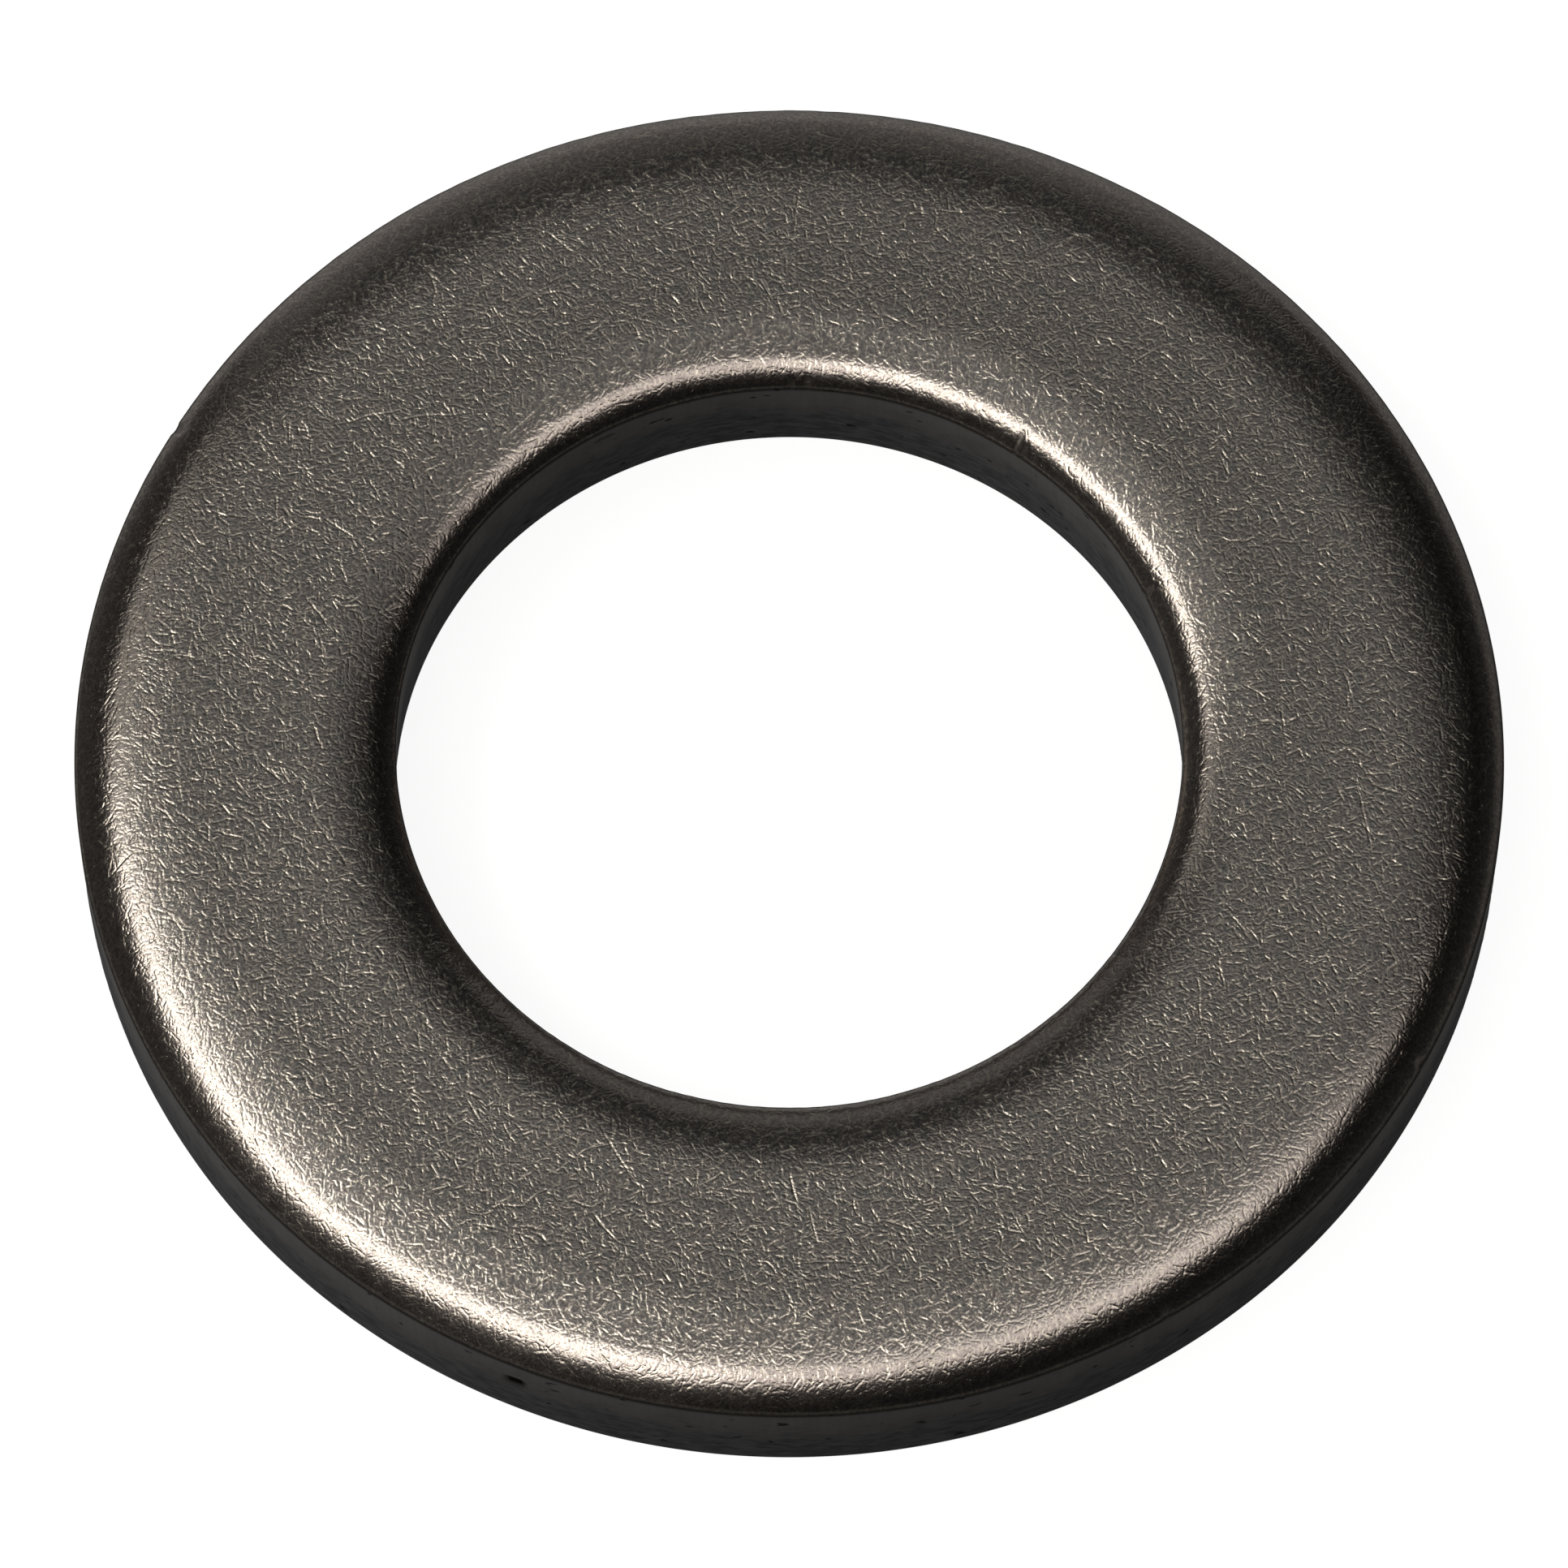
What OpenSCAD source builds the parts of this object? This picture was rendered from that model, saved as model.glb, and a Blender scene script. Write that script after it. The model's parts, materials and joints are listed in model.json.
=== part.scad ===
// Flat washer for an M12 screw, blanked from sheet in one stroke.
// The blanking leaves both top edges rolled over and both bottom edges nearly square.
// Origin: centre of the bore on the bottom face. +Z runs along the bore. Millimetres.

/* [Ring] */
// Outer diameter
outer_d = 24; // [22:0.1:26]
// Bore diameter
bore_d = 13.2; // [12:0.1:14]
// Thickness between the two flat faces
thickness = 2.6; // [2:0.1:3.5]

/* [Rolled top edges] */
// Radial width of the roll at the rim
rim_roll_w = 1.9; // [1.6:0.1:2]
// Radius of the gentle arc that starts the rim's roll on the top face
rim_start_r = 4.2; // [3.5:0.1:5]
// Radius of the tighter arc that ends it at the outer wall
rim_end_r = 1.5; // [1.5:0.1:1.9]
// Radial width of the roll at the bore
bore_roll_w = 1.4; // [1.2:0.1:1.5]
// Radius of the gentle arc that starts the bore's roll on the top face
bore_start_r = 3.2; // [2.6:0.1:4]
// Radius of the tighter arc that ends it at the bore wall
bore_end_r = 1.1; // [1.1:0.1:1.5]

/* [Bottom edges] */
// Radius that tumbling leaves on the bottom edges
edge_r = 0.08; // [0.05:0.01:0.3]

/* [Hidden] */
$fn = 180;
outer_r = outer_d / 2;
bore_r = bore_d / 2;
// How far a cutting shape runs past the edge that it cuts
past = 0.5;
// Sine and cosine of the slope, about 16 degrees, where the two arcs of a roll meet
meet_sin = 0.28;
meet_cos = 0.96;
// Satin stainless steel, a warm dark grey
steel = [0.40, 0.38, 0.35];

// What a roll of width w takes off the square corner at [0, 0] of a section towards -x and -y.
// The gentle arc is tangent to the top face, and the tighter one is tangent to it where they meet.
module roll_cut(w, start_r, end_r) {
    meet_x = start_r * meet_sin - w;
    end_x = (start_r - end_r) * meet_sin - w;
    end_y = (start_r - end_r) * meet_cos - start_r;
    difference() {
        translate([-w, end_y])
            square([w + past, past - end_y]);
        translate([-w, -start_r])
            circle(start_r);
    }
    difference() {
        translate([meet_x, end_y])
            square([past - meet_x, past - end_y]);
        translate([end_x, end_y])
            circle(end_r);
    }
}

// What tumbling takes off the square corner at [0, 0] of a section that lies towards -x and +y
module edge_cut() {
    difference() {
        translate([-edge_r, -past])
            square([edge_r + past, edge_r + past]);
        translate([-edge_r, edge_r])
            circle(edge_r);
    }
}

// Section through one side of the ring, with x as the radius and y as the height
module half_section() {
    difference() {
        translate([bore_r, 0])
            square([outer_r - bore_r, thickness]);
        translate([outer_r, thickness])
            roll_cut(rim_roll_w, rim_start_r, rim_end_r);
        translate([bore_r, thickness])
            mirror([1, 0])
            roll_cut(bore_roll_w, bore_start_r, bore_end_r);
        translate([outer_r, 0])
            edge_cut();
        translate([bore_r, 0])
            mirror([1, 0])
            edge_cut();
    }
}

// The washer, one solid ring of steel
module washer() {
    color(steel)
        rotate_extrude()
        half_section();
}

washer();
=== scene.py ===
"""A flat washer of tumbled stainless steel on a pale sweep.

The CAD node gives the ring's size. Its visual mesh is turned from the same section, with what
blanking and tumbling leave on the real thing: rolled top edges, a burnished and a torn band on
each wall, dents, nicks and a skin of short scratches. Painted shade darkens the creases and the
dents, and painted glints brighten the floors of the scratches.
"""
import json
import math

import bpy
import numpy as np
from mathutils import Matrix, Vector, noise


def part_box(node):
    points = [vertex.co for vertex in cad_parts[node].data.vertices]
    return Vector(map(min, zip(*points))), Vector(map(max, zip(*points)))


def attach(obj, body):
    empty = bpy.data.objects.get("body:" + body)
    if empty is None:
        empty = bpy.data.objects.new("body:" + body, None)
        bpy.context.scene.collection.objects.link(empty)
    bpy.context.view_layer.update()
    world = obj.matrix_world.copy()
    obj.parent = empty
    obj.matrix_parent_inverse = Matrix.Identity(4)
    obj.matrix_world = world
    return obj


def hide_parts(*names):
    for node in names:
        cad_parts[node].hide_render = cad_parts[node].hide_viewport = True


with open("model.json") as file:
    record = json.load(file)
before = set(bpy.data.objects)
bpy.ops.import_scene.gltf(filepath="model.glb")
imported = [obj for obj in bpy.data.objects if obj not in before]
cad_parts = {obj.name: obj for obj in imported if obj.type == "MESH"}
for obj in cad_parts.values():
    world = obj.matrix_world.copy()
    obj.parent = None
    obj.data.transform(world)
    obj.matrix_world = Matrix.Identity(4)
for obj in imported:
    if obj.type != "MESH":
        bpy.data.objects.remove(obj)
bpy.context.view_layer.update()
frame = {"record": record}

MM = 0.001

# ---------------------------------------------------------------- sizes, in millimetres
ring_low, ring_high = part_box("washer")
OUTER_R = ring_high[0] / MM
THICKNESS = (ring_high[2] - ring_low[2]) / MM
BORE_R = next(m for m in frame["record"]["mounts"] if m["name"] == "bore")["dims"]["r_mm"]

# Each roll as in the CAD: its width, the radius of its gentle start and of its tighter end
RIM_ROLL = (1.9, 4.2, 1.5)
BORE_ROLL = (1.4, 3.2, 1.1)
# Sine and cosine of the slope where the two arcs of a roll meet
MEET_SIN = 0.28
MEET_COS = 0.96
# Radius of the tumbled bottom edges
EDGE_R = 0.08
# How far below the crease the wall is burnished by the tool. Below that it is torn
BURNISH = 0.5
# How far the foot of each torn band leans away from the straight wall
RIM_LEAN = 0.01
BORE_LEAN = 0.07

# Steps of the mesh round the ring and along each stretch of its section
SEGMENTS = 1080
FLAT_STEPS = 9
START_STEPS = 6
END_STEPS = 10
BURNISH_STEPS = 5
TORN_STEPS = 10
EDGE_STEPS = 4
# How far below the crease the first row of a wall is
WALL_START = 0.03

# How far each crease rises towards one azimuth, and falls on the other side
CREASE_RISE = {"rim": 0.08, "bore": 0.02}
RISE_AZIMUTH = 220
# Heights of the slow and the quick waves along a crease, and how many of each go round the ring
SLOW_WAVES = (0.010, (3, 5, 8, 13, 21, 34))
QUICK_WAVES = (0.006, (55, 71, 89, 113, 144, 181))
# How far from the crease its waves fade away
WAVE_FADE = 0.25
# The same for the waves of the top face, and how far they turn from one row to the next
FACE_WAVES = (0.0012, (2, 3, 5, 7, 11))
FACE_TURN = 1.1

# The torn band: depth of its grain, how far down that sets in, and its grains to a millimetre
TORN_DEPTH = 0.014
TORN_SETS_IN = 0.15
TORN_GRAINS = (4, 4, 2.5)
# Falloff, frequency step and number of octaves of that grain
TORN_OCTAVES = (0.8, 2.2, 3)

# Marks from handling: azimuth, stretch, place along the stretch (mm), half sizes round the ring
# and along the section (mm), depth (mm) and how much painted shade darkens the mark's dent.
# The place on a roll is measured back from its crease, and on a wall down from its crease.
MARKS = [
    (247.5, "rim_wall", 0.70, 0.19, 0.17, 0.04, 1.0),
    (213.0, "rim_wall", 1.25, 0.07, 0.06, 0.05, 0.9),
    (62.0, "rim_wall", 0.80, 0.14, 0.10, 0.05, 0.7),
    (118.0, "bore_wall", 0.30, 0.20, 0.06, 0.03, 0.6),
    (54.5, "bore_roll", 0.16, 0.045, 0.28, 0.022, 0.3),
    (53.2, "bore_roll", 0.08, 0.050, 0.16, 0.020, 0.2),
    (24.5, "bore_roll", 0.04, 0.060, 0.20, 0.025, 0.3),
    (87.0, "bore_roll", 0.06, 0.070, 0.16, 0.012, 0.15),
    (89.5, "bore_roll", 0.04, 0.080, 0.14, 0.010, 0.1),
    (301.0, "rim_roll", 0.03, 0.100, 0.14, 0.025, 0.2),
    (331.0, "rim_roll", 0.02, 0.120, 0.12, 0.025, 0.2),
    (150.0, "rim_roll", 0.10, 0.100, 0.20, 0.025, 0.2),
]
# Square of the distance at which a mark ends, in half sizes. It is at full depth where that square
# is a whole one less
MARK_REACH = 1.5
# How dark the crease line is painted: painted shade where the roll bends sharply down into the
# wall
CREASE_PAINTED_SHADE = 0.85

# How far the skin's pattern is shifted on the bottom, so that it doesn't repeat the top's
UNDER_SHIFT = 40.0
# Seed of the random waves, and the least strength of one beside the strongest
SEED = 12
WEAKEST_WAVE = 0.4


# ---------------------------------------------------------------- section of the ring
def roll_points(width, start_r, end_r):
    """Distance from the start of the roll, drop below the top face and slope, down to the wall."""
    meet = math.asin(MEET_SIN)
    shift = (start_r - end_r) * MEET_SIN
    base = start_r - (start_r - end_r) * MEET_COS
    last = math.asin((width - shift) / end_r)
    points = []
    for i in range(1, START_STEPS + 1):
        slope = meet * i / START_STEPS
        points.append((start_r * math.sin(slope), start_r * (1 - math.cos(slope)), slope))
    for i in range(1, END_STEPS + 1):
        slope = meet + (last - meet) * i / END_STEPS
        points.append((shift + end_r * math.sin(slope), base - end_r * math.cos(slope), slope))
    return points


def make_row(r, z, normal, lay, stretch):
    """A row of the ring. lay is its radius with the section rolled out flat, for the skin."""
    return {"r": r, "z": z, "normal": normal, "lay": lay, "stretch": stretch,
            "from_crease": math.inf}


def face_row(r, z, side):
    """A row on the top face (side 1) or the bottom face (side -1)."""
    return make_row(r, z, (0, side), r, "face")


def roll_rows(start, side, roll, stretch):
    """Rows down one roll. side is 1 at the rim and -1 at the bore."""
    rows = []
    lay, before = start, (0, 0)
    for distance, drop, slope in roll_points(*roll):
        lay += side * math.hypot(distance - before[0], drop - before[1])
        before = (distance, drop)
        normal = (side * math.sin(slope), math.cos(slope))
        rows.append(make_row(start + side * distance, THICKNESS - drop, normal, lay, stretch))
    crease = rows[-1]["lay"]
    for row in rows:
        row["from_crease"] = abs(crease - row["lay"])
    return rows


def wall_rows(radius, side, top, lay, lean, stretch):
    """Rows down one wall, from just under its crease to the start of the bottom edge."""
    torn_height = top - BURNISH - EDGE_R
    downs = [WALL_START + (BURNISH - WALL_START) * i / BURNISH_STEPS
             for i in range(BURNISH_STEPS + 1)]
    downs += [BURNISH + torn_height * i / TORN_STEPS for i in range(1, TORN_STEPS + 1)]
    rows = []
    for down in downs:
        leant = lean * max(0, down - BURNISH) / torn_height
        row = make_row(radius - side * leant, top - down, (side, 0), lay + side * down, stretch)
        row["from_crease"] = down
        rows.append(row)
    return rows


def edge_rows(radius, side, lay):
    """Rows round one bottom edge, from the wall to the bottom face."""
    rows = []
    for i in range(1, EDGE_STEPS + 1):
        turn = math.pi / 2 * i / EDGE_STEPS
        r = radius - side * EDGE_R * (1 - math.cos(turn))
        z = EDGE_R * (1 - math.sin(turn))
        rows.append(make_row(r, z, (side * math.cos(turn), -math.sin(turn)), lay, "edge"))
    return rows


def flank_rows(name, side, wall_r, roll, lean):
    """Rows over one roll, down its wall and round its bottom edge."""
    rows = roll_rows(wall_r - side * roll[0], side, roll, name + "_roll")
    rows += wall_rows(wall_r, side, rows[-1]["z"], rows[-1]["lay"], lean, name + "_wall")
    rows += edge_rows(rows[-1]["r"], side, rows[-1]["lay"])
    return rows


def face_rows(start, end, z, side, steps):
    """Rows across a flat face, from one radius to another."""
    return [face_row(start + (end - start) * i / FLAT_STEPS, z, side) for i in steps]


def section():
    """Every row of the closed outline: out over the top face, down the rim, back to the bore."""
    rim_start = OUTER_R - RIM_ROLL[0]
    bore_start = BORE_R + BORE_ROLL[0]
    top = face_rows(bore_start, rim_start, THICKNESS, 1, range(FLAT_STEPS + 1))
    rim = flank_rows("rim", 1, OUTER_R, RIM_ROLL, RIM_LEAN)
    bore = flank_rows("bore", -1, BORE_R, BORE_ROLL, BORE_LEAN)
    bottom = face_rows(rim[-1]["r"], bore[-1]["r"], 0, -1, range(1, FLAT_STEPS))
    return top + rim + bottom + bore[::-1]


# ---------------------------------------------------------------- the ring's mesh
def round_the_ring(values):
    """One value to a row, repeated for every segment of the ring."""
    return np.tile(np.array(values, float), (SEGMENTS, 1))


def waves(turn, height_and_counts, rng):
    """A smooth random curve round the ring, about as high as the height, made of whole waves."""
    height, counts = height_and_counts
    total = np.zeros_like(turn)
    for count in counts:
        total += rng.uniform(WEAKEST_WAVE, 1) * np.cos(count * turn + rng.uniform(0, 2 * math.pi))
    return height * (total / math.sqrt(len(counts)))


def unevenness(rows, turn, rng):
    """How far each vertex is above its true height: creases wander, and the face isn't flat."""
    rise = np.zeros((SEGMENTS, len(rows)))
    for name, tilt in CREASE_RISE.items():
        wander = tilt * np.cos(turn - math.radians(RISE_AZIMUTH))
        wander += waves(turn, SLOW_WAVES, rng)
        wander += waves(turn, QUICK_WAVES, rng)
        for j, row in enumerate(rows):
            if row["stretch"].startswith(name):
                rise[:, j] += wander * math.exp(-row["from_crease"] / WAVE_FADE)
    face = np.array([row["stretch"] == "face" and row["z"] > 0 for row in rows])
    ripple = waves(turn, FACE_WAVES, rng)
    rise[:, face] += ripple[:, None] * np.sin(np.arange(face.sum()) * FACE_TURN)
    return rise


def torn_relief(places, rows):
    """How deep the grain of the torn band of each wall is at each vertex, in mm."""
    relief = np.zeros(len(places))
    for k, place in enumerate(places):
        row = rows[k % len(rows)]
        if row["stretch"].endswith("wall") and row["from_crease"] > BURNISH:
            spot = Vector([at * grains for at, grains in zip(place, TORN_GRAINS)])
            ramp = min(1, (row["from_crease"] - BURNISH) / TORN_SETS_IN)
            relief[k] = TORN_DEPTH * ramp * abs(noise.fractal(spot, *TORN_OCTAVES))
    return relief


def handling_marks(rows, turn):
    """Depth of the handling marks at each vertex, in mm, and how much painted shade each vertex
    gets, along the creases and in the dents of the marks.
    """
    depth = np.zeros((SEGMENTS, len(rows)))
    # Painted shade on the crease row and on the first row of each wall
    dark = round_the_ring([CREASE_PAINTED_SHADE if row["from_crease"] <= WALL_START else 0
                           for row in rows])
    for azimuth, stretch, place, half_round, half_down, deep, painted_shade_share in MARKS:
        edge_name = stretch.split("_")[0]
        gap = (turn - math.radians(azimuth) + math.pi) % (2 * math.pi) - math.pi
        for j, row in enumerate(rows):
            if not row["stretch"].startswith(edge_name + "_"):
                continue
            # The other stretch of the same edge lies beyond the crease
            at = row["from_crease"] if row["stretch"] == stretch else -row["from_crease"]
            reach = (gap * row["r"] / half_round) ** 2 + ((at - place) / half_down) ** 2
            share = np.clip(MARK_REACH - reach, 0, 1)
            depth[:, j] = np.maximum(depth[:, j], deep * share)
            # Painted shade in the dent of the mark
            dark[:, j] = np.maximum(dark[:, j], painted_shade_share * share)
    return depth, dark


def ring_faces(count):
    """Corners of every face between the rows and segments of the closed ring."""
    segment = np.arange(SEGMENTS)[:, None]
    row = np.arange(count)[None, :]
    next_row, next_segment = (row + 1) % count, (segment + 1) % SEGMENTS
    corners = [segment * count + row, segment * count + next_row,
               next_segment * count + next_row, next_segment * count + row]
    return np.stack(corners, -1).reshape(-1, 4)


def store(mesh, name, form, field, values):
    """Keeps a value or a vector for each vertex, which the material reads by its name."""
    attribute = mesh.attributes.new(name, form, "POINT")
    attribute.data.foreach_set(field, values.astype(np.float32).ravel())


def store_pattern(mesh, rows, cosine, sine, dark):
    """Keeps what the material needs to know about each vertex of the ring."""
    walls = [row["stretch"].endswith("wall") for row in rows]
    under = np.array([row["normal"][1] < 0 for row in rows])
    lay = round_the_ring([row["lay"] for row in rows])
    shift = round_the_ring(np.where(under, UNDER_SHIFT, 0.0))
    store(mesh, "lay", "FLOAT_VECTOR", "vector",
          np.stack([lay * cosine + shift, lay * sine, 0 * lay], -1))
    down = [row["from_crease"] if wall else 0 for row, wall in zip(rows, walls)]
    steep = [abs(row["normal"][0]) if "roll" in row["stretch"] else 0 for row in rows]
    for name, values in (("wall", walls), ("under", under), ("down", down), ("steep", steep)):
        store(mesh, name, "FLOAT", "value", round_the_ring(values))
    # Painted shade, along the creases and in the dents of the marks
    store(mesh, "dark", "FLOAT", "value", dark)


def make_ring():
    """The washer, with its wandering creases, marks and torn bands."""
    rng = np.random.default_rng(SEED)
    rows = section()
    turn = np.arange(SEGMENTS) * 2 * math.pi / SEGMENTS
    cosine, sine = np.cos(turn)[:, None], np.sin(turn)[:, None]
    outward = np.array([row["normal"][0] for row in rows], float)
    upward = np.array([row["normal"][1] for row in rows], float)
    depth, dark = handling_marks(rows, turn)
    radius = round_the_ring([row["r"] for row in rows]) - depth * outward
    height = round_the_ring([row["z"] for row in rows]) + unevenness(rows, turn, rng)
    height = height - depth * upward

    places = np.stack([radius * cosine, radius * sine, height], -1).reshape(-1, 3)
    relief = torn_relief(places, rows).reshape(SEGMENTS, len(rows))
    radius = radius - relief * outward
    places = np.stack([radius * cosine, radius * sine, height], -1).reshape(-1, 3)

    mesh = bpy.data.meshes.new("washer_ring")
    mesh.from_pydata((places * MM).tolist(), [], ring_faces(len(rows)).tolist())
    mesh.shade_smooth()
    store_pattern(mesh, rows, cosine, sine, dark)
    ring = bpy.data.objects.new("washer_ring", mesh)
    bpy.context.collection.objects.link(ring)
    return ring


# ---------------------------------------------------------------- materials
class Tree:
    """Short calls for building a material's nodes."""

    def __init__(self, material):
        material.use_nodes = True
        self.nodes = material.node_tree.nodes
        self.links = material.node_tree.links
        self.shader = self.nodes["Principled BSDF"]

    def feed(self, socket, value):
        """Links an output to the socket, or sets a plain value on it."""
        if isinstance(value, bpy.types.NodeSocket):
            self.links.new(value, socket)
        else:
            socket.default_value = value

    def calc(self, operation, *values, clamp=False):
        """Result of a Math node."""
        node = self.nodes.new("ShaderNodeMath")
        node.operation = operation
        node.use_clamp = clamp
        for socket, value in zip(node.inputs, values):
            self.feed(socket, value)
        return node.outputs[0]

    def vector(self, operation, *values):
        """Result of a Vector Math node."""
        node = self.nodes.new("ShaderNodeVectorMath")
        node.operation = operation
        for socket, value in zip(node.inputs, values):
            self.feed(socket, value)
        return node.outputs[0]

    def axes(self, place):
        """The X, Y and Z of a vector."""
        node = self.nodes.new("ShaderNodeSeparateXYZ")
        self.feed(node.inputs[0], place)
        return node.outputs

    def rotated(self, place, angle):
        """The vector turned about Z."""
        node = self.nodes.new("ShaderNodeVectorRotate")
        node.rotation_type = "Z_AXIS"
        self.feed(node.inputs["Vector"], place)
        self.feed(node.inputs["Angle"], angle)
        return node.outputs[0]

    def attribute(self, name, output="Fac"):
        """What the mesh keeps under this name."""
        node = self.nodes.new("ShaderNodeAttribute")
        node.attribute_name = name
        return node.outputs[output]

    def noise_node(self, place, pitch, detail, roughness):
        node = self.nodes.new("ShaderNodeTexNoise")
        self.feed(node.inputs["Vector"], place)
        node.inputs["Scale"].default_value = 1 / pitch
        node.inputs["Detail"].default_value = detail
        node.inputs["Roughness"].default_value = roughness
        return node

    def noise(self, place, pitch, detail, roughness=0.5):
        """Noise between 0 and 1 whose features are about pitch across."""
        return self.noise_node(place, pitch, detail, roughness).outputs[0]

    def colour_noise(self, place, pitch, detail=1, roughness=0.5):
        """Three such noises at once, as a colour or a vector."""
        return self.noise_node(place, pitch, detail, roughness).outputs[1]

    def mix_node(self, form, inputs, values):
        node = self.nodes.new("ShaderNodeMix")
        node.data_type = form
        for number, value in zip(inputs, values):
            self.feed(node.inputs[number], value)
        return node

    def blend(self, share, low, high):
        """Value between low and high."""
        return self.mix_node("FLOAT", (0, 2, 3), (share, low, high)).outputs[0]

    def mix(self, share, low, high):
        """Colour between low and high."""
        return self.mix_node("RGBA", (0, 6, 7), (share, low, high)).outputs[2]

    def span(self, value, low, high):
        """Smoothly from 0 where the value is at low, to 1 where it is at high."""
        node = self.nodes.new("ShaderNodeMapRange")
        node.interpolation_type = "SMOOTHSTEP"
        self.feed(node.inputs["Value"], value)
        node.inputs["From Min"].default_value = low
        node.inputs["From Max"].default_value = high
        return node.outputs[0]


# Layers of scratches: cell, half length and half width in mm, share of cells with one, depth in mm
SCRATCH_LAYERS = [
    (0.10, 0.050, 0.025, 1.00, 0.0046),
    (0.12, 0.065, 0.026, 1.00, 0.0056),
    (0.15, 0.085, 0.027, 1.00, 0.0066),
    (0.18, 0.105, 0.028, 1.00, 0.0076),
    (0.23, 0.135, 0.029, 0.80, 0.0090),
    (0.32, 0.180, 0.031, 0.50, 0.0100),
    (0.75, 0.340, 0.031, 0.35, 0.0105),
    (1.90, 0.800, 0.031, 0.25, 0.0105),
]
# How far the pattern of one layer is shifted from that of the layer before, in mm along X, and
# what share of that it is shifted along Y
LAYER_SHIFT = 3.7
LAYER_SLANT = 0.37
# The shallowest scratch of a layer, as a share of the deepest
SHALLOWEST = 0.35
# How far the scratches are bent, and over what distance, in mm
BEND = 0.16
BEND_PITCH = 0.7
# Grain and dimples of the skin: pitch and height in mm
GRAIN = (0.055, 0.0110)
DIMPLES = (0.45, 0.0035)
# Detail of the noise that makes both
GRAIN_DETAIL = 2

# Sines of the slopes between which a roll becomes polished, steep, and warmer in colour
POLISHED_SLOPES = (0.0, 0.3)
STEEP_SLOPES = (0.42, 0.68)
WARM_SLOPES = (0.0, 0.5)
# The skin's relief, as a share of the above: at the back right, from where X + Y is this many mm,
# to the front left, where it is this many
FAR_RELIEF = (14, 0.74)
NEAR_RELIEF = (-4, 0.80)
# What is left of it on a polished slope, on a steep one, and underneath
POLISHED_RELIEF = 0.42
STEEP_RELIEF = 0.3
UNDER_RELIEF = 0.4

# The walls: heights of the lines that the tool drags down the burnished band and of the grain
# that runs along the torn one, in mm
BURNISHED_RELIEF = 0.003
TORN_RELIEF = 0.012
# The noise of each, as pitch in mm, detail and roughness, and how it is stretched
TORN_NOISE = (0.09, 3, 0.6)
BURNISHED_NOISE = (0.09, 2)
ALONG_THE_WALL = (0.25, 0.25, 1)
DOWN_THE_WALL = (1, 1, 0.1)
# How far below the crease, in mm, the burnished look turns into the torn one, on average
TORN_FROM = 0.1
TORN_TO = 1.3
# By how much that wanders, in mm, and the pitch and detail of the noise that it follows
TORN_WANDER = 1.2
TORN_WANDER_NOISE = (0.8, 3)

# Colours
COOL_SKIN = (0.300, 0.298, 0.280, 1)
WARM_SKIN = (0.425, 0.362, 0.325, 1)
DARK_MOTTLE = (0.08, 0.08, 0.08, 1)
PALE_MOTTLE = (0.8, 0.74, 0.7, 1)
# Painted glint, laid in the floors of the scratches
PAINTED_GLINT = (0.74, 0.67, 0.56, 1)
BURNISHED_DARK = (0.36, 0.332, 0.305, 1)
BURNISHED_PALE = (0.50, 0.462, 0.425, 1)
TORN_DARK = (0.15, 0.15, 0.162, 1)
TORN_PALE = (0.27, 0.265, 0.27, 1)
SPECK = (0.03, 0.03, 0.03, 1)
# Painted shade, laid on the creases and in the dents of the marks
PAINTED_SHADE = (0.010, 0.009, 0.009, 1)
# Noise of the skin's patches and of its mottle, as pitch in mm, detail and roughness, and the
# stretch of it over which one colour turns into the other
PATCH_NOISE = (0.35, 5, 0.85)
PATCH_SPAN = (0.38, 0.62)
MOTTLE_NOISE = (0.045, 2, 0.7)
MOTTLE_SPAN = (0.3, 0.7)
# The same for the torn band and for the specks on both walls
TORN_SPAN = (0.35, 0.65)
SPECK_NOISE = (0.16, 1)
SPECK_SPAN = (0.30, 0.24)
SPECK_STRETCH = (0.5, 0.5, 1)
# How much of each mottle is laid over the skin, and of the painted glint in the scratches on flat
# and on sloping metal
DARK_MOTTLE_SHARE = 0.4
PALE_MOTTLE_SHARE = 0.25
FLAT_GLINT_SHARE = 0.75
SLOPING_GLINT_SHARE = 0.5

# Roughness: least and most on flat and on polished skin, and on the walls and in the marks
FLAT_ROUGHNESS = (0.24, 0.34)
POLISHED_ROUGHNESS = (0.16, 0.23)
BURNISHED_ROUGHNESS = 0.34
TORN_ROUGHNESS = 0.5
MARK_ROUGHNESS = 0.8
# Noise between the least and the most, as pitch in mm and detail
ROUGHNESS_NOISE = (0.25, 2)


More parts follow.
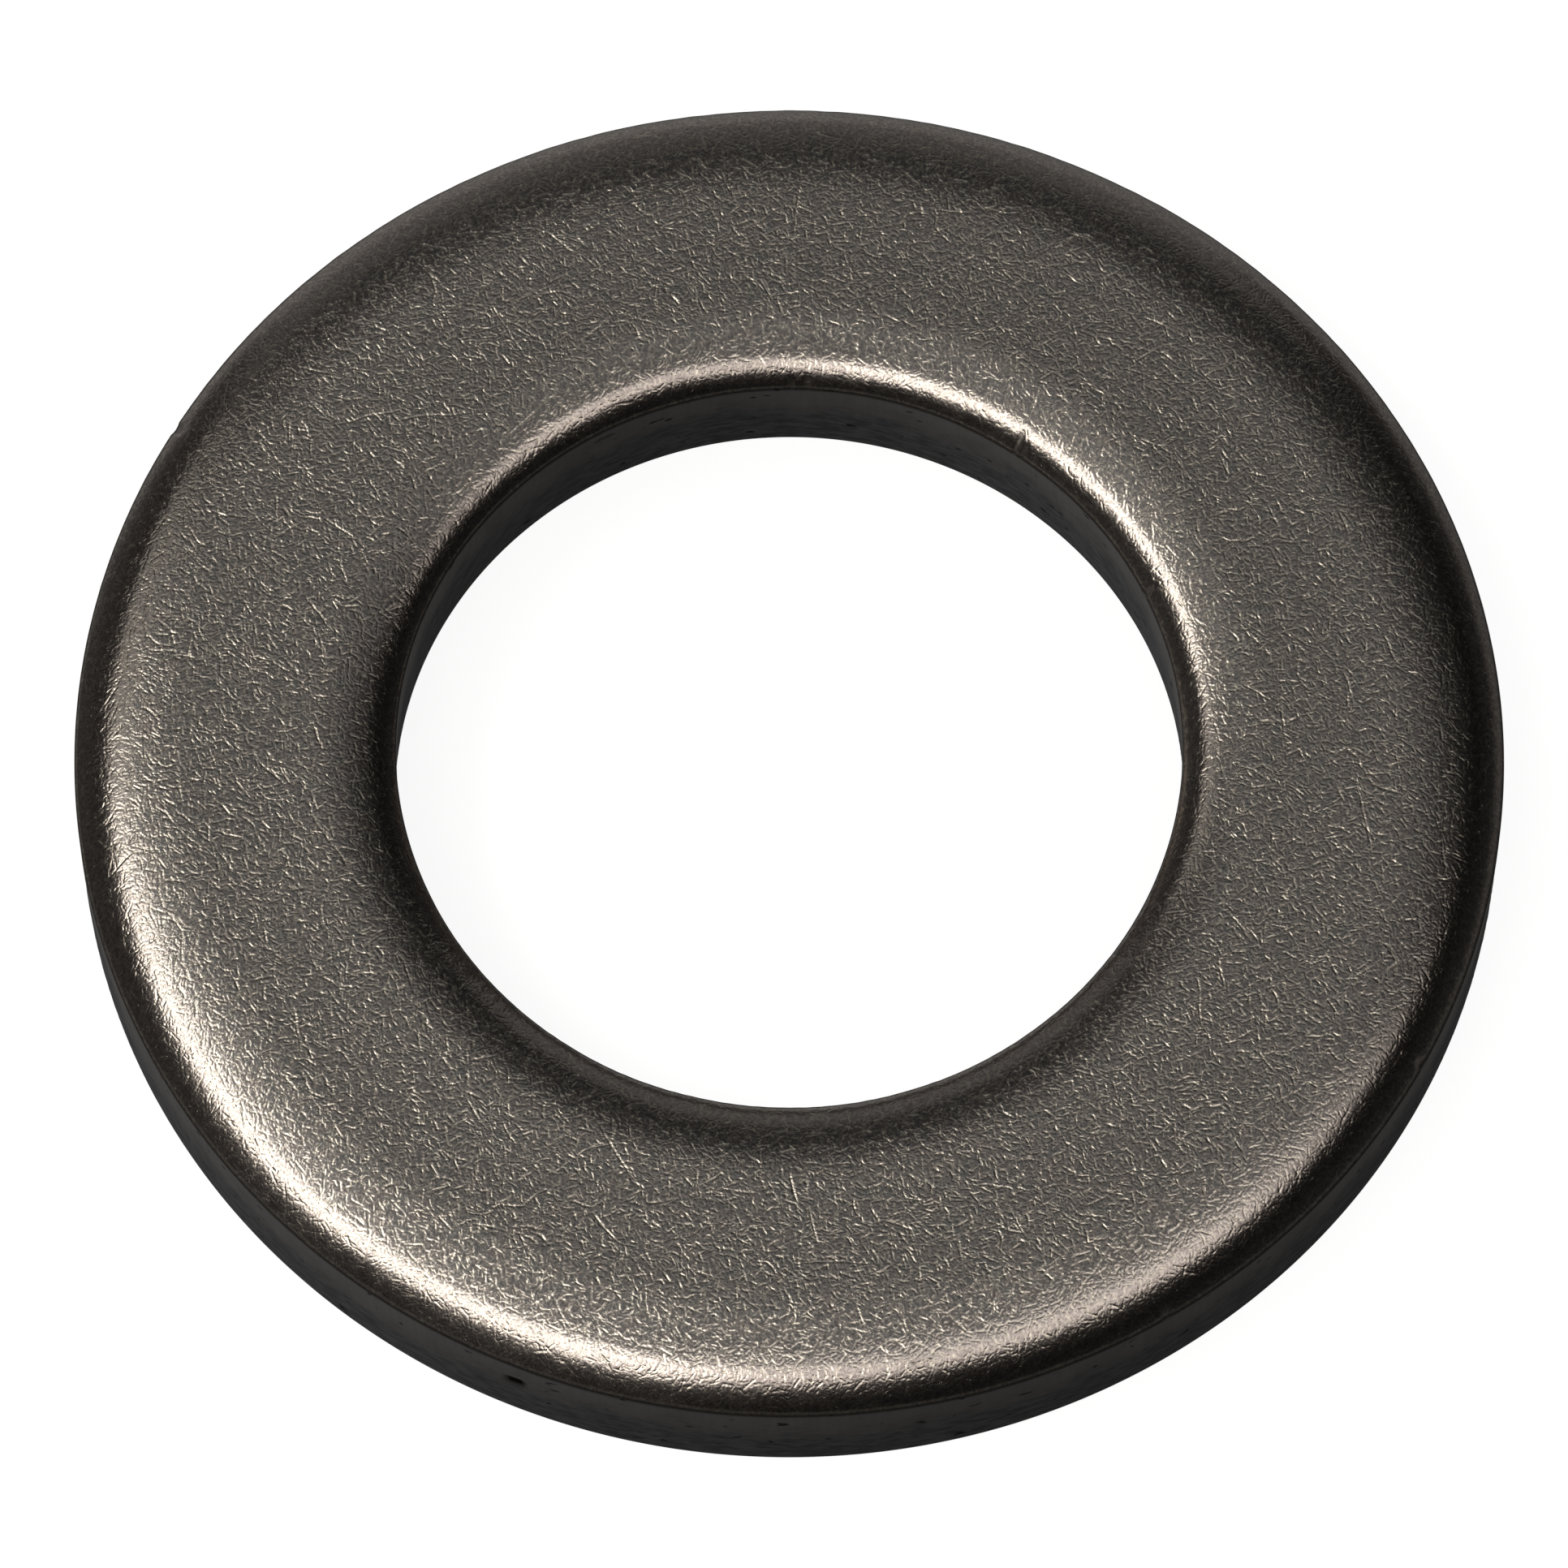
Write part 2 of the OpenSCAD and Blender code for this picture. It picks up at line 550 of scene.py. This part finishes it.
def scratches(tree, lay, number):
    """One layer of short scratches at any angle, one to a cell of the metal: 1 at the deepest."""
    cell, half_length, half_width, share, _ = SCRATCH_LAYERS[number]
    shift = LAYER_SHIFT * number
    place = tree.vector("ADD", lay, (shift, shift * LAYER_SLANT, 0))
    cells = tree.nodes.new("ShaderNodeTexVoronoi")
    cells.voronoi_dimensions = "2D"
    tree.feed(cells.inputs["Vector"], place)
    cells.inputs["Scale"].default_value = 1 / cell
    draw = tree.nodes.new("ShaderNodeSeparateColor")
    tree.feed(draw.inputs[0], cells.outputs["Color"])
    from_middle = tree.vector("SUBTRACT", place, cells.outputs["Position"])
    angle = tree.calc("MULTIPLY", draw.outputs[0], 2 * math.pi)
    turned = tree.axes(tree.rotated(from_middle, angle))
    off_axis = tree.calc("DIVIDE", tree.calc("ABSOLUTE", turned[1]), half_width)
    across = tree.calc("SUBTRACT", 1, off_axis, clamp=True)
    reach = tree.calc("DIVIDE", turned[0], half_length)
    along = tree.calc("SUBTRACT", 1, tree.calc("MULTIPLY", reach, reach), clamp=True)
    present = tree.calc("LESS_THAN", draw.outputs[1], share)
    strength = tree.calc("MULTIPLY_ADD", draw.outputs[2], 1 - SHALLOWEST, SHALLOWEST)
    weight = tree.calc("MULTIPLY", present, strength)
    return tree.calc("MULTIPLY", tree.calc("MULTIPLY", across, along), weight)


def skin_height(tree, lay):
    """Height of the tumbled skin in mm, and how much of each spot is the floor of a scratch."""
    height, flecks = 0.0, 0.0
    for number, layer in enumerate(SCRATCH_LAYERS):
        mask = scratches(tree, lay, number)
        height = tree.calc("MULTIPLY_ADD", mask, -layer[-1], height)
        flecks = tree.calc("ADD", mask, flecks)
    for pitch, high in (GRAIN, DIMPLES):
        height = tree.calc("MULTIPLY_ADD", tree.noise(lay, pitch, GRAIN_DETAIL), high, height)
    return height, flecks


def relief_share(tree, place, slope, polished):
    """How much of the skin's relief is left: less where the tumbling polished it."""
    x, y, _ = tree.axes(place)
    near = tree.span(tree.calc("ADD", x, y), FAR_RELIEF[0], NEAR_RELIEF[0])
    share = tree.blend(near, FAR_RELIEF[1], NEAR_RELIEF[1])
    for where, left in ((polished, POLISHED_RELIEF),
                        (tree.span(slope, *STEEP_SLOPES), STEEP_RELIEF),
                        (tree.attribute("under"), UNDER_RELIEF)):
        share = tree.calc("MULTIPLY", share, tree.blend(where, 1.0, left))
    return share


def skin_colour(tree, lay, slope, flecks):
    """Colour of the tumbled skin: cool and warm patches, a fine mottle, and painted glints in the
    floors of the scratches.
    """
    sloping = tree.span(slope, *WARM_SLOPES)
    patches = tree.span(tree.noise(lay, *PATCH_NOISE), *PATCH_SPAN)
    skin = tree.mix(tree.calc("MAXIMUM", patches, sloping), COOL_SKIN, WARM_SKIN)
    mottle = tree.span(tree.noise(lay, *MOTTLE_NOISE), *MOTTLE_SPAN)
    darker = tree.mix(DARK_MOTTLE_SHARE, skin, DARK_MOTTLE)
    paler = tree.mix(PALE_MOTTLE_SHARE, skin, PALE_MOTTLE)
    skin = tree.mix(mottle, darker, paler)
    # Painted glints: the floors of the scratches are made pale and cream
    glint_share = tree.blend(sloping, FLAT_GLINT_SHARE, SLOPING_GLINT_SHARE)
    painted_glint = tree.calc("MULTIPLY", flecks, glint_share, clamp=True)
    return tree.mix(painted_glint, skin, PAINTED_GLINT)


def wall_colour(tree, place, torn, drag_lines, grain):
    """Colour of a wall: burnished and warm, then torn and darker, with dark specks on both."""
    burnished = tree.mix(drag_lines, BURNISHED_DARK, BURNISHED_PALE)
    torn_colour = tree.mix(tree.span(grain, *TORN_SPAN), TORN_DARK, TORN_PALE)
    colour = tree.mix(torn, burnished, torn_colour)
    speck_place = tree.vector("MULTIPLY", place, SPECK_STRETCH)
    specks = tree.span(tree.noise(speck_place, *SPECK_NOISE), *SPECK_SPAN)
    return tree.mix(specks, colour, SPECK)


def steel_material():
    """Tumbled stainless steel. Its pattern is in mm of metal, with the section rolled out flat."""
    material = bpy.data.materials.new("tumbled_steel")
    tree = Tree(material)
    lay = tree.attribute("lay", "Vector")
    coordinates = tree.nodes.new("ShaderNodeTexCoord")
    per_mm = 1 / MM
    place = tree.vector("MULTIPLY", coordinates.outputs["Object"], (per_mm, per_mm, per_mm))
    wall = tree.attribute("wall")
    # How much painted shade each spot gets, on the creases and in the dents of the marks
    dark = tree.attribute("dark")
    slope = tree.attribute("steep")
    polished = tree.span(slope, *POLISHED_SLOPES)

    # Relief of the skin
    bend = tree.vector("MULTIPLY", tree.colour_noise(lay, BEND_PITCH), (BEND, BEND, 0))
    height, flecks = skin_height(tree, tree.vector("ADD", lay, bend))
    height = tree.calc("MULTIPLY", height, relief_share(tree, place, slope, polished))

    # Relief of the walls
    grain = tree.noise(tree.vector("MULTIPLY", place, ALONG_THE_WALL), *TORN_NOISE)
    drag_lines = tree.noise(tree.vector("MULTIPLY", place, DOWN_THE_WALL), *BURNISHED_NOISE)
    wander = tree.noise(place, *TORN_WANDER_NOISE)
    least_down = tree.calc("ADD", tree.attribute("down"), -TORN_WANDER / 2)
    wavy_down = tree.calc("MULTIPLY_ADD", wander, TORN_WANDER, least_down)
    torn = tree.span(wavy_down, TORN_FROM, TORN_TO)
    wall_height = tree.blend(torn, tree.calc("MULTIPLY", drag_lines, BURNISHED_RELIEF),
                             tree.calc("MULTIPLY", grain, TORN_RELIEF))
    bump = tree.nodes.new("ShaderNodeBump")
    bump.inputs["Strength"].default_value = 1
    bump.inputs["Distance"].default_value = MM
    tree.feed(bump.inputs["Height"], tree.blend(wall, height, wall_height))
    tree.feed(tree.shader.inputs["Normal"], bump.outputs[0])

    colour = tree.mix(wall, skin_colour(tree, lay, slope, flecks),
                      wall_colour(tree, place, torn, drag_lines, grain))
    # Painted shade over the creases and the dents of the marks
    tree.feed(tree.shader.inputs["Base Color"], tree.mix(dark, colour, PAINTED_SHADE))

    least, most = (tree.blend(polished, flat, smooth)
                   for flat, smooth in zip(FLAT_ROUGHNESS, POLISHED_ROUGHNESS))
    matte = tree.blend(tree.noise(lay, *ROUGHNESS_NOISE), least, most)
    wall_matte = tree.blend(torn, BURNISHED_ROUGHNESS, TORN_ROUGHNESS)
    rough = tree.blend(dark, tree.blend(wall, matte, wall_matte), MARK_ROUGHNESS)
    tree.feed(tree.shader.inputs["Roughness"], rough)
    tree.shader.inputs["Metallic"].default_value = 1
    return material


# ---------------------------------------------------------------- stage, in metres
# The sweep: radius of its flat floor, radius of the curve up from it, and height of its rim
SWEEP_FLAT = 0.55
SWEEP_CURVE = 0.22
SWEEP_TOP = 0.69
# Its sides round, and its steps up the curve
SWEEP_SIDES = 96
SWEEP_STEPS = 12
SWEEP_GREY = (0.25, 0.25, 0.25, 1)
SWEEP_GLOW = 0.86
WHITE = (1, 1, 1, 1)


def sweep_material():
    """A matte pale surface that glows, so that the backdrop stays nearly white."""
    material = bpy.data.materials.new("pale_sweep")
    material.use_nodes = True
    shader = material.node_tree.nodes["Principled BSDF"]
    shader.inputs["Base Color"].default_value = SWEEP_GREY
    shader.inputs["Roughness"].default_value = 1
    shader.inputs["Emission Color"].default_value = WHITE
    shader.inputs["Emission Strength"].default_value = SWEEP_GLOW
    return material


def make_sweep():
    """A round floor that curves up into a wall, far outside the washer."""
    outline = [(SWEEP_FLAT, 0.0)]
    for i in range(1, SWEEP_STEPS + 1):
        a = math.pi / 2 * i / SWEEP_STEPS
        outline.append((SWEEP_FLAT + SWEEP_CURVE * math.sin(a), SWEEP_CURVE * (1 - math.cos(a))))
    outline.append((SWEEP_FLAT + SWEEP_CURVE, SWEEP_TOP))
    places = [(0, 0, 0)]
    for r, z in outline:
        for k in range(SWEEP_SIDES):
            a = 2 * math.pi * k / SWEEP_SIDES
            places.append((r * math.cos(a), r * math.sin(a), z))
    faces = [(0, 1 + k, 1 + (k + 1) % SWEEP_SIDES) for k in range(SWEEP_SIDES)]
    for j in range(len(outline) - 1):
        inner = 1 + j * SWEEP_SIDES
        outer = inner + SWEEP_SIDES
        for k in range(SWEEP_SIDES):
            n = (k + 1) % SWEEP_SIDES
            faces.append((inner + k, outer + k, outer + n, inner + n))
    mesh = bpy.data.meshes.new("sweep")
    mesh.from_pydata(places, [], faces)
    mesh.shade_smooth()
    mesh.materials.append(sweep_material())
    sweep = bpy.data.objects.new("sweep", mesh)
    bpy.context.collection.objects.link(sweep)
    sweep.visible_glossy = False


def direction(azimuth, elevation):
    """Unit vector; azimuth 0 is +X and 90 is +Y, in degrees."""
    a, e = math.radians(azimuth), math.radians(elevation)
    return Vector((math.cos(a) * math.cos(e), math.sin(a) * math.cos(e), math.sin(e)))


# How far the softboxes stand from the washer
LIGHT_DISTANCE = 0.25
KEY_COLOUR = (1, 0.97, 0.92)
# Softboxes: azimuth, elevation, width and height as shares of that distance, radiance, colour
SOFTBOXES = {
    "key": (182, 53.5, 0.66, 0.27, 3.6, KEY_COLOUR),
    "key_back": (138, 46, 0.36, 0.26, 0.4, KEY_COLOUR),
    "key_front": (230, 60, 0.42, 0.35, 2.6, KEY_COLOUR),
    "front_fill": (292, 67, 0.92, 0.38, 1.15, (1, 0.95, 0.92)),
    "right_fill": (352, 56, 0.40, 0.30, 0.45, (1, 0.95, 0.93)),
    "back_card": (92, 16, 1.2, 0.8, 0.09, (1, 1, 1)),
}
# Brightness of the room by the sine of the elevation, from straight down to straight up
ROOM = [(-1, 0.06), (-0.77, 0.075), (-0.45, 0.13), (-0.15, 0.135), (0.0, 0.045), (0.12, 0.028),
        (0.25, 0.028), (0.5, 0.008), (0.75, 0.02), (0.85, 0.075), (0.94, 0.265), (1, 0.14)]
# What that is multiplied by at the left and back, and at the right and front
ROOM_LEFT = 1.6
ROOM_RIGHT = 0.65
# How much Y counts beside X in saying which side that is, and how far it goes each way
ROOM_SLANT = -0.5
ROOM_REACH = 0.5


def softbox(name, azimuth, elevation, width, height, radiance, colour):
    """A soft rectangular light that faces the washer."""
    light = bpy.data.lights.new(name, "AREA")
    light.shape = "RECTANGLE"
    light.size, light.size_y = width * LIGHT_DISTANCE, height * LIGHT_DISTANCE
    light.energy = radiance * math.pi * light.size * light.size_y
    light.color = colour
    lamp = bpy.data.objects.new(name, light)
    away = direction(azimuth, elevation)
    lamp.location = away * LIGHT_DISTANCE
    lamp.rotation_mode = "QUATERNION"
    lamp.rotation_quaternion = away.to_track_quat("Z", "Y")
    lamp.visible_camera = False
    bpy.context.collection.objects.link(lamp)


def make_room():
    """The dim room round the washer, which the metal reflects."""
    world = bpy.data.worlds.new("dim_room")
    world.use_nodes = True
    nodes, links = world.node_tree.nodes, world.node_tree.links
    coordinates = nodes.new("ShaderNodeTexCoord")
    axes = nodes.new("ShaderNodeSeparateXYZ")
    links.new(coordinates.outputs["Generated"], axes.inputs[0])

    spread = nodes.new("ShaderNodeMapRange")
    spread.inputs["From Min"].default_value = -1
    links.new(axes.outputs["Z"], spread.inputs["Value"])
    ramp = nodes.new("ShaderNodeValToRGB")
    links.new(spread.outputs[0], ramp.inputs[0])
    stops = ramp.color_ramp.elements
    for sine, _ in ROOM[1:-1]:
        stops.new((sine + 1) / 2)
    for stop, (_, grey) in zip(stops, ROOM):
        stop.color = (grey, grey, grey, 1)
    links.new(ramp.outputs["Color"], nodes["Background"].inputs["Color"])

    slant = nodes.new("ShaderNodeMath")
    slant.operation = "MULTIPLY_ADD"
    slant.inputs[1].default_value = ROOM_SLANT
    links.new(axes.outputs["Y"], slant.inputs[0])
    links.new(axes.outputs["X"], slant.inputs[2])
    tilt = nodes.new("ShaderNodeMapRange")
    tilt.inputs["From Min"].default_value = -ROOM_REACH
    tilt.inputs["From Max"].default_value = ROOM_REACH
    tilt.inputs["To Min"].default_value = ROOM_LEFT
    tilt.inputs["To Max"].default_value = ROOM_RIGHT
    links.new(slant.outputs[0], tilt.inputs["Value"])
    links.new(tilt.outputs[0], nodes["Background"].inputs["Strength"])
    bpy.context.scene.world = world


# The camera: elevation and roll in degrees, distance in metres, lens and sensor in mm
CAMERA_ELEVATION = 66.3
CAMERA_ROLL = 0.37
CAMERA_DISTANCE = 0.216
CAMERA_LENS = 292.92
CAMERA_SENSOR = 36
CAMERA_CLIP = 0.01
# How far right of and above the middle of the frame the washer's centre stands, in mm
CENTRE_RIGHT = 0.0934
CENTRE_UP = -0.1896


def make_camera():
    """A camera in front of the washer and above it, with +X to its right."""
    data = bpy.data.cameras.new("camera")
    data.sensor_width = CAMERA_SENSOR
    data.lens = CAMERA_LENS
    data.clip_start = CAMERA_CLIP
    camera = bpy.data.objects.new("camera", data)
    back = direction(-90, CAMERA_ELEVATION)
    facing = back.to_track_quat("Z", "Y").to_matrix()
    facing = facing @ Matrix.Rotation(math.radians(-CAMERA_ROLL), 3, "Z")
    aim = -(facing @ Vector((CENTRE_RIGHT, CENTRE_UP, 0))) * MM
    camera.rotation_mode = "QUATERNION"
    camera.rotation_quaternion = facing.to_quaternion()
    camera.location = aim + back * CAMERA_DISTANCE
    bpy.context.collection.objects.link(camera)
    bpy.context.scene.camera = camera


make_camera()
washer = make_ring()
washer.data.materials.append(steel_material())
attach(washer, "root")
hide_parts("washer")
make_sweep()
for light_name, settings in SOFTBOXES.items():
    softbox(light_name, *settings)
make_room()
bpy.context.scene.view_settings.view_transform = "Standard"
